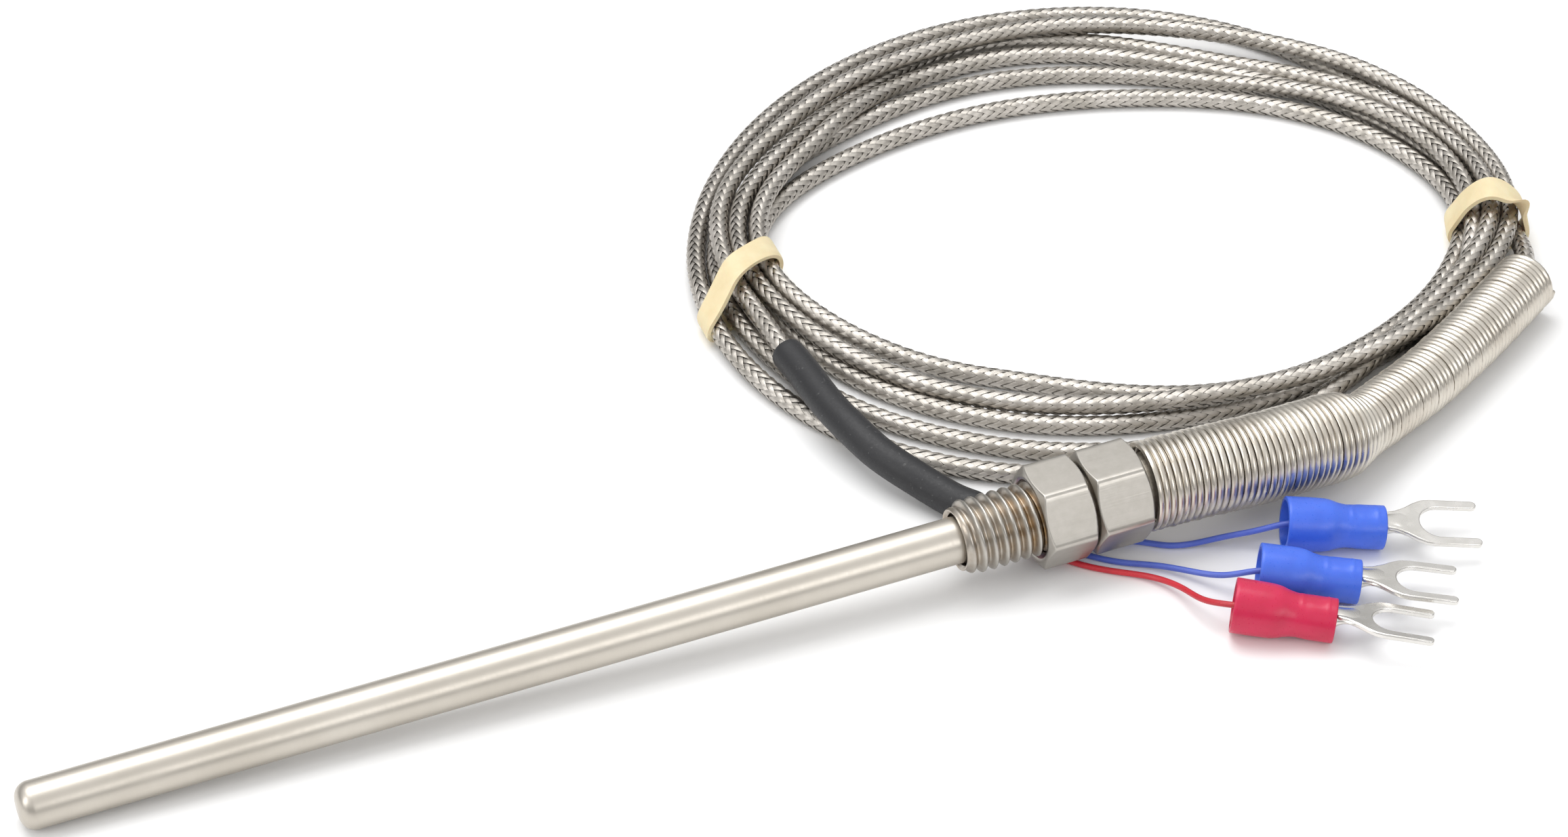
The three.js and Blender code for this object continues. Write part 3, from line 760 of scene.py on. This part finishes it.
# ---------------------------------------------------------------- the probe
def softly(first, second, smaller=True, blend=0.04):
    """The smaller, or larger, of two radii, with a soft edge where they meet."""
    sign = -1 if smaller else 1
    top = np.maximum(sign * first, sign * second)
    mixed = np.exp((sign * first - top) / blend) + np.exp((sign * second - top) / blend)
    return sign * (top + blend * np.log(mixed))


def thread_radius(x, angle, extra=0.0, start=None, end=None):
    """The rounded thread's radius at a distance along the probe, tapered where it starts and ends."""
    wave = THREAD_MEAN_R + THREAD_DEPTH * np.cos(2 * math.pi * x / PITCH - angle)
    taper = 1.0 if start is None else min(1.0, min(x - start, end - x) / PITCH)
    return NECK_R + (wave - NECK_R) * max(taper, 0.0) + extra


def hexagon_rows(start, end, angle):
    """Rows of a 10 mm hexagon whose corners are chamfered at both ends."""
    flat = HEX_FLAT_R / np.cos((angle % (math.pi / 3)) - math.pi / 6)
    flat = softly(flat, np.full_like(flat, HEX_FLAT_R + HEX_CORNER_CUT))
    offsets = np.concatenate([np.linspace(0, HEX_CHAMFER * 1.1, 14), [1.2, 2.0]])
    slope = (HEX_FLAT_R / math.cos(math.pi / 6) + 0.1 - HEX_FACE_R) / HEX_CHAMFER
    rows = []
    for offset in offsets:
        cone = np.full_like(flat, HEX_FACE_R + slope * offset)
        rows.append((offset, softly(flat, cone)))
    first = [(start + offset, radius) for offset, radius in rows]
    return first + [(end - offset, radius) for offset, radius in rows[::-1]]


SEGMENTS = 144
ROWS_PER_TURN = 14
ANGLES = np.linspace(0, 2 * math.pi, SEGMENTS, endpoint=False)


def make_sheath():
    """The closed steel tube, with a flat tip and a large soft edge."""
    arc = [math.pi / 2 * i / 16 for i in range(17)]
    edge = [(TIP_EDGE_R * (1 - math.sin(a)), SHEATH_R - TIP_EDGE_R + TIP_EDGE_R * math.cos(a)) for a in arc]
    edge.reverse()
    lengths = [(x, SHEATH_R) for x in range(6, 119, 8)]
    rows = [(0, 0), (0, 0.4), *edge, *lengths, (SHEATH_END - 0.15, SHEATH_R), (SHEATH_END, SHEATH_R - 0.12),
            (SHEATH_END, SHEATH_BORE_R), (SHEATH_FLOOR + 0.7, SHEATH_BORE_R),
            (SHEATH_FLOOR, SHEATH_BORE_R - 0.7), (SHEATH_FLOOR, 0)]
    return on_probe(closed_turned("sheath", rows, 96))


def make_fitting():
    """The M8 thread and hexagon in one piece, with its bore and the pocket for the collar."""
    rows = [(100.3, FITTING_BORE_R), (100.05, FITTING_BORE_R + 0.22), (THREAD_START, FITTING_BORE_R + 0.3)]
    for x in np.arange(THREAD_START, HEX_START, PITCH / ROWS_PER_TURN):
        rows.append((x, thread_radius(x, ANGLES, 0, THREAD_START, HEX_START + 0.5)))
    rows.append((HEX_START, 3.6))
    rows += hexagon_rows(HEX_START, HEX_END, ANGLES)
    rows += [(HEX_END, COUNTERBORE_R + 0.15), (HEX_END - 0.15, COUNTERBORE_R),
             (HEX_END - COUNTERBORE_DEPTH, COUNTERBORE_R), (HEX_END - COUNTERBORE_DEPTH, FITTING_BORE_R)]
    return on_probe(turned("fitting", rows, SEGMENTS))


def make_nut():
    """The lock nut, with a countersunk thread."""
    rows = hexagon_rows(NUT_START, NUT_END, ANGLES)
    sink_slope = (COUNTERSINK_R - THREAD_MEAN_R) / COUNTERSINK_DEPTH
    for x in np.arange(NUT_END, NUT_START - 0.01, -PITCH / ROWS_PER_TURN):
        depth = min(x - NUT_START, NUT_END - x)
        sink = np.full(SEGMENTS, COUNTERSINK_R - sink_slope * depth)
        rows.append((x, softly(thread_radius(x, ANGLES, NUT_CLEARANCE), sink, smaller=False)))
    return on_probe(turned("nut", rows, SEGMENTS))


# ---------------------------------------------------------------- spring, cable and what is on it
def make_spring():
    """One close-wound wire, wide over the collar and narrower to its cut end."""
    line = Line(smooth_route(SPRING_ROUTE, 0.5))
    turns = round((line.length - 2 * SPRING_WIRE_R) / SPRING_PITCH) + QUARTER_TURN
    turn = np.linspace(0, turns, int(turns * POINTS_PER_TURN))
    along = SPRING_WIRE_R + turn / turns * (line.length - 2 * SPRING_WIRE_R)
    step = np.clip((along - SPRING_STEP_START) / (SPRING_STEP_END - SPRING_STEP_START), 0, 1)
    step = step * step * (3 - 2 * step)
    radius = SPRING_WIDE_R - SPRING_WIRE_R + (SPRING_NARROW_R - SPRING_WIDE_R) * step
    radius = radius + 0.05 * np.sin(turn * 2.4) * np.sin(turn * 0.71)
    middle = line.round(along, (turn - QUARTER_TURN) * 2 * math.pi, radius)
    wire = Line(middle)
    step = wire.length / (len(turn) - 1)
    return tube("spring", wire, SPRING_WIRE_R, SPRING_WIRE_SIDES, step, rounding=0.08)


def make_core(line):
    """The cable under its braid."""
    return tube("cable", line, CABLE_CORE_R, CORE_SIDES, 1.0)


def ribbon_points(line, where, carrier, direction):
    """Points along a ribbon's one edge, its middle and its other edge."""
    crossed = where / CROSSING
    nearest = np.floor(crossed + 0.5)
    between = np.abs(crossed - nearest) > 0.25
    height = over_or_under(nearest, carrier, direction)
    other = over_or_under(nearest + np.sign(crossed - nearest), carrier, direction)
    height = np.where(between, (height + other) / 2, height)
    radius = RIBBON_UNDER_R + (RIBBON_OVER_R - RIBBON_UNDER_R) * height
    angle = direction * 2 * math.pi * where / BRAID_LEAD + 2 * math.pi * carrier / CARRIERS
    helix = math.atan(2 * math.pi * CABLE_R / BRAID_LEAD)
    rows = []
    for across, drop in ((-0.5, RIBBON_CROWN), (0, -RIBBON_CROWN * 0.4), (0.5, RIBBON_CROWN)):
        shift = across * RIBBON_WIDTH
        place = np.clip(where - direction * shift * math.sin(helix), 0, line.length)
        turn = angle + shift * math.cos(helix) / radius
        rows.append(line.round(place, turn, radius - drop))
    return rows


def make_braid(name, line, direction):
    """The ribbons that wind one way. Each passes over two of the others and then under two."""
    count = int((line.length - BRAID_START) / (CROSSING / 2))
    where = np.linspace(BRAID_START, line.length - 0.05, count)
    rows, faces = [], []
    for carrier in range(CARRIERS):
        faces.append(ribbon_faces(count, len(rows) * count))
        rows += ribbon_points(line, where, carrier, direction)
    faces = np.concatenate(faces)
    if direction < 0:
        faces = faces[:, ::-1]
    mesh = bpy.data.meshes.new(name)
    mesh.from_pydata(put(np.concatenate(rows)).tolist(), [], faces.tolist())
    mesh.shade_smooth()
    mesh.set_sharp_from_angle(angle=math.radians(60))
    add_strand_map(mesh, count)
    return new_object(name, mesh)


def add_strand_map(mesh, count):
    """Texture coordinates for a braid: from 0 to 1 across each ribbon, and in millimetres along it."""
    corner = np.zeros(len(mesh.loops), dtype=np.int64)
    mesh.loops.foreach_get("vertex_index", corner)
    across = (corner // count % 3) / 2
    along = corner % count * CROSSING / 2
    strand = mesh.uv_layers.new(name="strand")
    strand.data.foreach_set("uv", np.stack([across, along], 1).ravel())


def over_or_under(crossing, carrier, direction):
    """1 where a ribbon passes over the one it crosses, and 0 where it passes under."""
    other = carrier + direction * crossing
    over = ((carrier + other) % 4) < 2
    return np.where(over if direction > 0 else ~over, 1.0, 0.0)


def ribbon_faces(count, start):
    """Four-sided faces of a three-cornered closed strip, without its ends."""
    i = np.arange(count - 1)
    left, middle, right = start + i, start + count + i, start + 2 * count + i
    sides = []
    for a, b in ((left, middle), (middle, right), (right, left)):
        sides.append(np.stack([a, b, b + 1, a + 1], 1))
    return np.concatenate(sides)


def hull(points):
    """The outline round flat points, anticlockwise."""
    ordered = sorted(map(tuple, points))

    def half(sequence):
        out = []
        for p in sequence:
            while len(out) > 1:
                (ax, ay), (bx, by) = out[-2], out[-1]
                if (bx - ax) * (p[1] - ay) - (by - ay) * (p[0] - ax) > 0:
                    break
                out.pop()
            out.append(p)
        return out[:-1]

    return np.array(half(ordered) + half(ordered[::-1]))


def across_strands(line, degrees, sway):
    """The strands' places in the upright plane of a band: out from the coil's centre, and up."""
    turn = math.radians(degrees)
    outward = np.array([math.cos(turn), math.sin(turn)])
    onward = np.array([-math.sin(turn), math.cos(turn)])
    flat = line.points[:, :2] - np.array(COIL_CENTRE)
    out, on = flat @ outward, flat @ onward
    passing = (np.abs(on) < BAND_WIDTH) & (out > 20)
    share = (out - out[passing].min()) / np.ptp(out[passing]) - 0.5
    near = (np.abs(on - sway * share) < 0.6 * BAND_WIDTH) & (out > 20)
    return outward, onward, out[near], line.points[near, 2]


def band_path(outs, heights):
    """The band's inner line round the strands: tight at the sides, and arched above them."""
    ring = np.linspace(0, 2 * math.pi, 16, endpoint=False)
    size = CABLE_R + 0.03
    around = [np.stack([r + size * np.cos(ring), z + size * np.sin(ring)], 1) for r, z in zip(outs, heights)]
    inside = hull(np.concatenate(around))
    inside[:, 1] = np.maximum(inside[:, 1], BAND_THICKNESS + 0.02)
    loop = np.concatenate([inside, inside[:1]])
    knots = distance_along(loop)
    even = np.linspace(0, knots[-1], 96, endpoint=False)
    path = np.stack([np.interp(even, knots, loop[:, axis]) for axis in range(2)], 1)
    for _ in range(10):
        path = (np.roll(path, 1, 0) + 2 * path + np.roll(path, -1, 0)) / 4
    share = (path[:, 0] - path[:, 0].min()) / np.ptp(path[:, 0])
    high = np.clip((path[:, 1] - path[:, 1].mean()) / (np.ptp(path[:, 1]) / 2), 0, 1)
    path[:, 1] += BAND_ARCH * high * 4 * share * (1 - share)
    return path


def make_band(name, line, degrees, sway, flap=0.0):
    """A flat rubber band round the coil's strands at an angle, askew by sway, with a folded edge."""
    outward, onward, outs, heights = across_strands(line, degrees, sway)
    path = band_path(outs, heights)
    heading = np.roll(path, -1, 0) - np.roll(path, 1, 0)
    normal = np.stack([heading[:, 1], -heading[:, 0]], 1)
    normal /= np.linalg.norm(normal, axis=1)[:, None]
    half = BAND_WIDTH / 2
    section = [(width, 0.0) for width in np.linspace(-half, half, BAND_COLUMNS)]
    section += [(width, BAND_THICKNESS) for width in np.linspace(half, -half, BAND_COLUMNS)]
    share = (path[:, 0] - path[:, 0].min()) / np.ptp(path[:, 0]) - 0.5
    fraction = np.linspace(0, 2 * math.pi, len(path), endpoint=False)
    fold = fraction[(path[:, 0] + path[:, 1]).argmax()]
    vertices = []
    for width, thick in section:
        edge = abs(width) / half
        thin = BAND_THICKNESS * (0.12 if edge > 0.99 else 0.0)
        depth = thin if thick == 0 else thick - thin
        curl = flap * np.clip(edge - 0.4, 0, 1) * (width < 0) * np.exp(-((fraction - fold) / 0.22) ** 2)
        place = path + normal * (depth + 0.01 + curl)[:, None]
        place[:, 1] = np.maximum(place[:, 1], 0.01 + BAND_THICKNESS - depth)
        side = width + sway * share + 0.12 * np.sin(3 * fraction + width)
        xy = np.array(COIL_CENTRE) + place[:, :1] * outward + side[:, None] * onward
        vertices.append(np.concatenate([xy, place[:, 1:]], 1))
    rows = np.stack(vertices, 0)
    faces = grid_faces(len(section), len(path), close_rows=True).tolist()
    return mesh_object(name, put(rows.reshape(-1, 3)), faces, 50)


def make_shrink():
    """The black sleeve over the cable's end, from which the lead wires come."""
    line = Line(smooth_route(SHRINK_ROUTE, 0.5))
    return tube("shrink_sleeve", line, SHRINK_R, SHRINK_SIDES, 0.5, bore=SHRINK_BORE_R, rounding=0.3)


# ---------------------------------------------------------------- terminals and lead wires
def rim_height():
    """How high a terminal's axis is at its rim, where the funnel and the grip both touch the table."""
    return FUNNEL_R * math.cos(TERMINAL_PITCH) + FUNNEL_LENGTH * math.sin(TERMINAL_PITCH) + FIT


def on_terminal(obj, name):
    """Puts a piece that was made along X from a terminal's rim where that terminal lies."""
    rim, yaw, roll, _ = TERMINALS[name]
    turn = Matrix.Rotation(math.radians(yaw), 4, "Z") @ Matrix.Rotation(TERMINAL_PITCH, 4, "Y")
    turn = turn @ Matrix.Rotation(math.radians(roll), 4, "X")
    obj.matrix_world = Matrix.Translation(put([(*rim, rim_height())])[0]) @ turn
    return obj


def make_vinyl(name):
    """A terminal's sleeve: a wide thin funnel, and a grip that the crimping tool has marked."""
    along = np.concatenate([[0, 0.08], np.linspace(0.4, 4, 6), np.linspace(4.3, 6.6, 12),
                            np.linspace(6.8, VINYL_LENGTH - 0.2, 19), [VINYL_LENGTH - 0.08, VINYL_LENGTH]])
    knots = [0, 2.2, 3.7, 4.7, 5.6, 6.5, 7.2, 7.9, VINYL_LENGTH]
    radii = [FUNNEL_R, FUNNEL_R - 0.02, FUNNEL_R - 0.03, 2.74, 2.44, 2.27, 2.3, 2.36, GRIP_R]
    outer = np.interp(along, knots, radii)
    outer[1:-1] = (outer[:-2] + 2 * outer[1:-1] + outer[2:]) / 4
    outer[[0, -1]] -= 0.08
    upward = np.exp(-(((ANGLES - math.pi / 2 + math.pi) % (2 * math.pi) - math.pi) / 0.55) ** 2)
    rows = []
    for x, radius in zip(along, outer):
        crease = sum(size * math.exp(-((x - middle) / spread) ** 2) for middle, spread, size in CREASES)
        press = 0.10 * math.exp(-((x - 8.3) / 1.1) ** 4)
        rows.append((x, radius - upward * (press - 0.12 * crease)))
    inner = [(x, radius - VINYL_WALL) for x, radius in zip(along[::-3], outer[::-3])]
    obj = turned(f"sleeve_{name}", rows + inner + [(0, outer[0] - VINYL_WALL + 0.1)], SEGMENTS, 60)
    return on_terminal(obj, name)


def fork_outline():
    """The blade's outline, from the neck round both prongs."""
    half, slot = BLADE_WIDTH / 2, SLOT_WIDTH / 2
    prong = half - slot
    slot_start = BLADE_END - SLOT_LENGTH
    shoulder = [(10.6, 1.15), (11.8, 1.4), (12.8, 1.9), (13.8, 2.6), (14.7, 3.05), (15.6, half)]
    tip = [(BLADE_END - prong / 2 + prong / 2 * math.sin(a), half - prong / 2 + prong / 2 * math.cos(a))
           for a in np.linspace(0, math.pi, 9)]
    bottom = [(slot_start + slot - slot * math.cos(a), slot * math.sin(a))
              for a in np.linspace(math.pi / 2, 0, 12)]
    upper = shoulder + tip + bottom
    return upper + [(x, -y) for x, y in upper[-2::-1]]


def make_fork(name):
    """A tinned fork's stamped blade, with softened edges; the neck that rounds into its barrel is made by
    make_neck().
    """
    outline = fork_outline()
    count = len(outline)
    low = BLADE_RISE - BLADE_THICKNESS / 2
    points = [(x, y, low) for x, y in outline] + [(x, y, low + BLADE_THICKNESS) for x, y in outline]
    faces = [list(range(count))[::-1], list(range(count, 2 * count))]
    faces += [[i, (i + 1) % count, count + (i + 1) % count, count + i] for i in range(count)]
    obj = mesh_object(f"blade_{name}", np.array(points) * MM, faces, 80)
    bevel = obj.modifiers.new("soft_edges", "BEVEL")
    bevel.width = 0.16 * MM
    bevel.segments = 3
    bevel.limit_method = "ANGLE"
    bevel.angle_limit = math.radians(50)
    bevel.harden_normals = False
    return on_terminal(obj, name)


def make_neck(name):
    """The barrel, and the rounded neck that flattens and rises into the blade."""
    sections = [(BARREL_START, BARREL_R, BARREL_R, 0), (BARREL_END, BARREL_R, BARREL_R, 0),
                (9.7, 1.62, 1.5, 0.1), (10.3, 1.45, 1.15, 0.35), (10.9, 1.3, 0.8, 0.65),
                (11.5, 1.42, 0.55, 0.85), (12.2, 1.75, 0.4, 0.97), (NECK_END, 1.9, 0.31, BLADE_RISE)]
    knots = np.array([section[0] for section in sections])
    along = np.concatenate([[BARREL_START], np.linspace(BARREL_END, NECK_END, 26)])
    sizes = [np.interp(along, knots, [section[i] for section in sections]) for i in (1, 2, 3)]
    values = np.stack(sizes, 1)
    values[1:-1] = (values[:-2] + 2 * values[1:-1] + values[2:]) / 4
    angle = np.linspace(0, 2 * math.pi, NECK_SIDES, endpoint=False)
    rings = [np.stack([np.full(NECK_SIDES, x), w * np.cos(angle), z + h * np.sin(angle)], 1)
             for x, (w, h, z) in zip(along, values)]
    round_bore = BARREL_BORE_R * np.cos(angle), BARREL_BORE_R * np.sin(angle)
    bore = [np.stack([np.full(NECK_SIDES, x), *round_bore], 1) for x in (BARREL_END - 0.2, BARREL_START)]
    outer = len(along)
    faces = grid_faces(outer, NECK_SIDES).tolist()
    faces += grid_faces(2, NECK_SIDES, first=outer * NECK_SIDES).tolist()
    ring = [list(range(i * NECK_SIDES, (i + 1) * NECK_SIDES)) for i in range(outer + 2)]
    first, last, bottom, mouth = ring[0], ring[outer - 1], ring[outer], ring[outer + 1]
    for i in range(NECK_SIDES):
        j = (i + 1) % NECK_SIDES
        faces.append([first[i], first[j], mouth[j], mouth[i]])
    faces += [last, bottom[::-1]]
    return on_terminal(mesh_object(f"neck_{name}", np.concatenate(rings + bore) * MM, faces, 50), name)


def wire_line(name):
    """A lead wire, from inside the black sleeve, under the fitting and into its terminal."""
    rim, yaw, _, side = TERMINALS[name]
    sleeve = Line(smooth_route(SHRINK_ROUTE, 0.5))
    start = []
    for share in (0.62, 0.8, 0.99):
        middle = sleeve.read(sleeve.points, share * sleeve.length)
        heading = sleeve.read(sleeve.heading, share * sleeve.length)
        across = np.array([-heading[1], heading[0], 0]) / math.hypot(heading[0], heading[1])
        start.append(middle + across * side * WIRE_SPACING)
    heading = math.radians(yaw)
    end = []
    for along in (0.4, BARREL_START - PLAY):
        flat = along * math.cos(TERMINAL_PITCH)
        end.append((rim[0] + flat * math.cos(heading), rim[1] + flat * math.sin(heading),
                    rim_height() - along * math.sin(TERMINAL_PITCH)))
    return Line(smooth_route([*start, *WIRE_ROUTES[name], *end], 0.4))


# ---------------------------------------------------------------- build
make_camera()
CABLE = cable_route()
cable = dress(make_core(CABLE), "core", "braid", "probe", "cable_lead", "cable_coil", "cable_tail")
braids = [dress(make_braid("braid_right", CABLE, 1), "braid", "braid", "probe"),
          dress(make_braid("braid_left", CABLE, -1), "braid", "braid", "probe")]
spring = dress(make_spring(), "spring", "steel", "probe", "strain_relief_spring")
shrink = dress(make_shrink(), "shrink", "shrink", "probe", "heat_shrink_sleeve")
left_band = make_band("band_left", CABLE, BAND_LEFT, LEFT_SWAY)
right_band = make_band("band_right", CABLE, BAND_RIGHT, 0, RIGHT_FLAP)
dress(left_band, "latex", "latex", "probe", "rubber_band_left")
dress(right_band, "latex", "latex", "probe", "rubber_band_right")
put(CABLE.points[0])[0]
put(CABLE.points[::2])

for name in TERMINALS:
    color = name.split("_")[0]
    line = wire_line(name)
    wire = tube(f"wire_{name}", line, WIRE_R, WIRE_SIDES, 0.4)
    dress(wire, f"{color}_wire", color, "probe", f"lead_wire_{name}")
    sleeve = dress(make_vinyl(name), color, color, "probe", f"vinyl_sleeve_{name}")
    blade = dress(make_fork(name), "tinned", "tinned", "probe", f"fork_terminal_{name}")
    neck = dress(make_neck(name), "tinned", "tinned", "probe")
    put(line.points[0])[0]
    put(line.points)

dress(make_sheath(), "sheath", "steel", "probe", "probe_sheath")
dress(make_fitting(), "nickel", "nickel", "fitting", "threaded_fitting")
dress(make_nut(), "nickel", "nickel", "nut", "lock_nut")

INNER_LOOKS = {
    "retaining_collar": "sheath", "braid_ferrule": "sheath",
    "sensing_element": "ceramic", "alumina_fill": "ceramic", "epoxy_seal": "resin",
    "element_lead_1": "tinned", "element_lead_2": "tinned", "splice_blue": "tinned", "splice_red": "tinned",
    "inner_wire_blue_1": "blue_wire", "inner_wire_blue_2": "blue_wire", "inner_wire_red": "red_wire",
}
for node, look in INNER_LOOKS.items():
    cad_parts[node].material_slots[0].material = LOOKS[look]


# ---------------------------------------------------------------- floor and light
def make_floor():
    """A plain pale table top."""
    bpy.ops.mesh.primitive_plane_add(size=6)
    floor = bpy.context.object
    floor.name = "floor"
    floor.data.materials.append(Look("floor", (0.9, 0.9, 0.9), 0.55).material)


def softbox(name, place, target, size, power):
    """A rectangular light of a size in metres, aimed at a point."""
    data = bpy.data.lights.new(name, "AREA")
    data.shape = "RECTANGLE"
    data.size, data.size_y = size
    data.energy = power
    light = new_object(name, data)
    light.location = place
    light.rotation_euler = (Vector(target) - Vector(place)).to_track_quat("-Z", "Y").to_euler()


def make_light():
    """Three softboxes, and a studio that is darker near the horizon, so that the metal has contrast."""
    world = bpy.data.worlds.new("studio")
    world.use_nodes = True
    nodes, links = world.node_tree.nodes, world.node_tree.links
    place = nodes.new("ShaderNodeTexCoord")
    parts = nodes.new("ShaderNodeSeparateXYZ")
    strength = nodes.new("ShaderNodeMapRange")
    links.new(place.outputs["Generated"], parts.inputs["Vector"])
    links.new(parts.outputs["Z"], strength.inputs["Value"])
    for key, value in (("From Min", 0.05), ("From Max", 0.6), ("To Min", 0.12), ("To Max", 0.9)):
        strength.inputs[key].default_value = value
    links.new(strength.outputs["Result"], nodes["Background"].inputs["Strength"])
    nodes["Background"].inputs["Color"].default_value = (1, 1, 1, 1)
    bpy.context.scene.world = world
    softbox("overhead", (-0.05, 0.25, 0.75), (0, 0.02, 0), (0.7, 0.5), 3.6)
    softbox("left", (-0.75, -0.1, 0.45), (0, 0, 0), (0.3, 0.5), 1.6)
    softbox("front", (0.25, -0.7, 0.4), (0, 0, 0), (0.6, 0.25), 1.2)
    bpy.context.scene.view_settings.view_transform = "Standard"


make_floor()
make_light()
